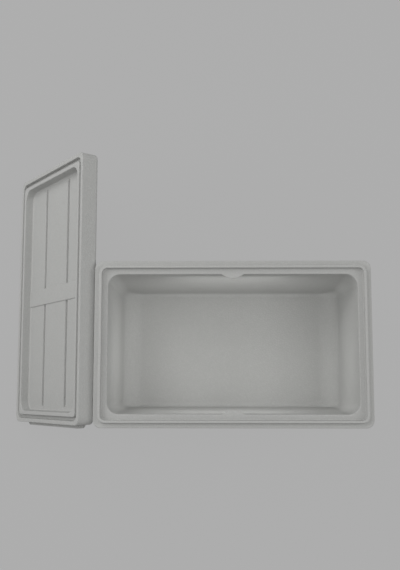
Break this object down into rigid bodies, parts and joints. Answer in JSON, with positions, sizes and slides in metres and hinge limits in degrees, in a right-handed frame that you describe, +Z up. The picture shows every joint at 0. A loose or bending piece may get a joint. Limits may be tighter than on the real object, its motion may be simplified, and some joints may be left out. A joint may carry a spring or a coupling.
{
  "type": "insulated foam box",
  "caption": "Open rectangular box of moulded foam with drafted walls and a tongue round its rim; its lid, channelled and grooved, leans against one end.",
  "frame": {"origin": "middle of the box's flat base, on the surface it stands on", "axes": "+X along the box, away from the end that the lid leans on; +Y across the box; +Z up, out of its open top"},
  "size_m": [0.6925, 0.514, 0.2642],
  "materials": {
    "foam": null
  },
  "bodies": {
    "root": {"box_body": "foam", "lid": "foam"}
  },
  "joints": []
}
